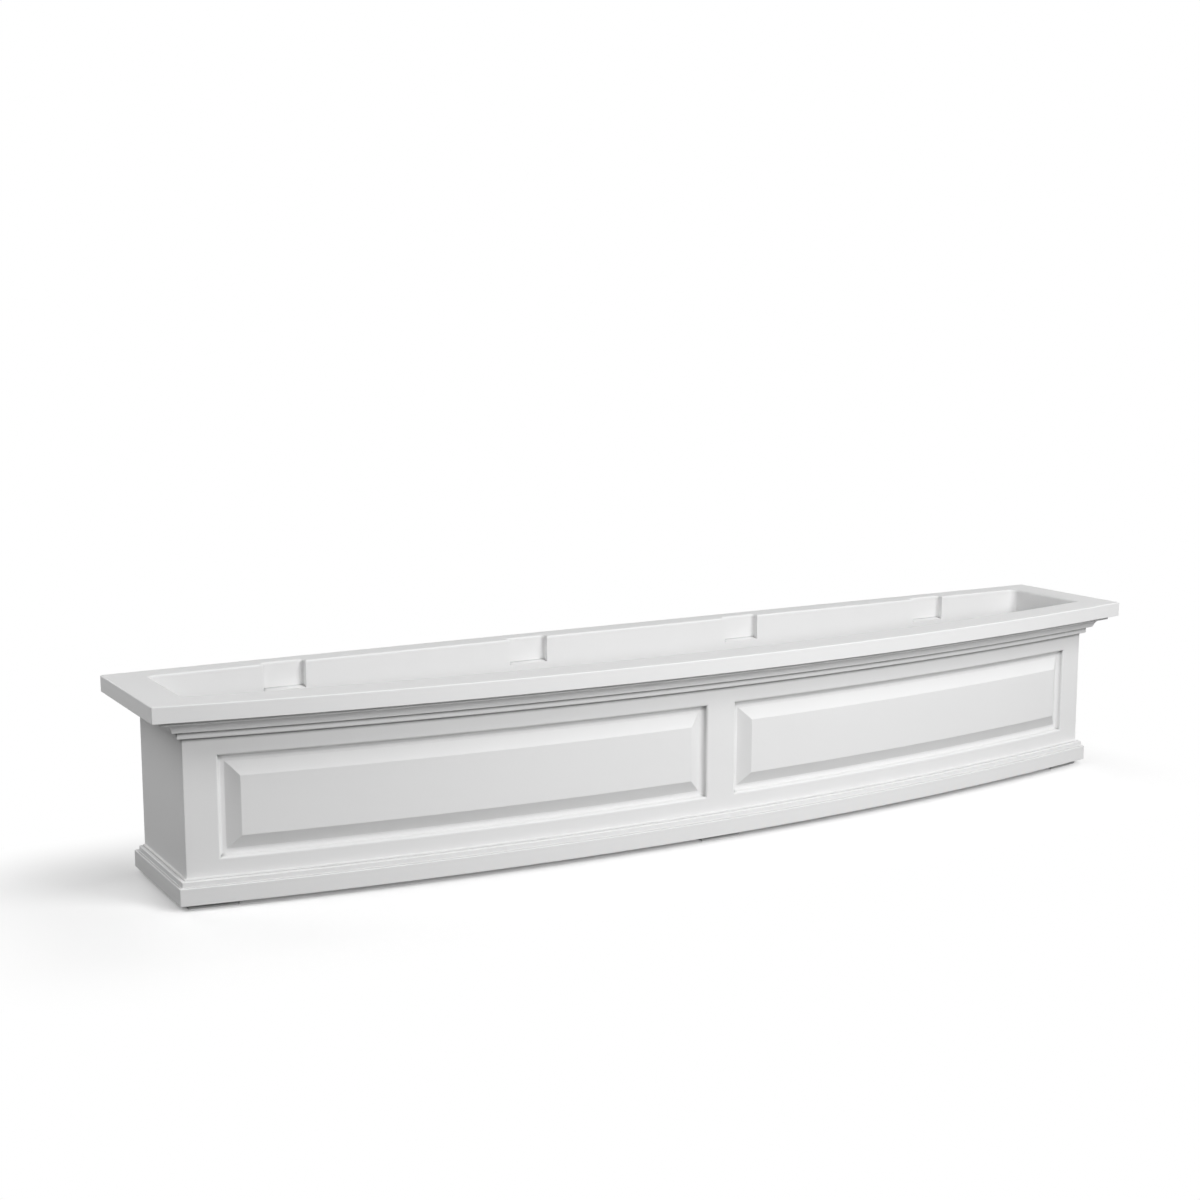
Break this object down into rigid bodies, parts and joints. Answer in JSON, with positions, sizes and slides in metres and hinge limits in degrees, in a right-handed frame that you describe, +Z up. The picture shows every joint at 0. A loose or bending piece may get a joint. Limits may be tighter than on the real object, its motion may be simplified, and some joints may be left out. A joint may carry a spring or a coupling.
{
  "type": "window box",
  "caption": "Long bow-fronted plastic window box with raised panels, a crown-moulded rim, a plinth, feet and steel wall brackets; holds soil and plants",
  "frame": {"origin": "on the ground, under the middle of the whole part", "axes": "+X to the box's own right as seen from the front, +Y back to the wall, +Z up"},
  "size_m": [1.524, 0.2923, 0.2585],
  "materials": {
    "moulded_shell": "white polyethylene with a fine moulded grain",
    "back_sheet": "plain white plastic sheet",
    "foot_pad": "pale grey moulded plastic",
    "drain_plug": "dark soft rubber",
    "bracket_steel": "white powder coat",
    "fastener_steel": "plain stainless steel"
  },
  "bodies": {
    "root": {"planter_shell": "moulded_shell", "back_panel": "back_sheet", "front_left_foot": "foot_pad", "front_middle_foot": "foot_pad", "front_right_foot": "foot_pad", "rear_left_foot": "foot_pad", "rear_middle_foot": "foot_pad", "rear_right_foot": "foot_pad", "drain_plugs": "drain_plug", "outer_left_wall_bracket": "bracket_steel", "inner_left_wall_bracket": "bracket_steel", "inner_right_wall_bracket": "bracket_steel", "outer_right_wall_bracket": "bracket_steel", "bracket_bolts": "fastener_steel", "bracket_washers": "fastener_steel", "bracket_nuts": "fastener_steel"}
  },
  "joints": []
}
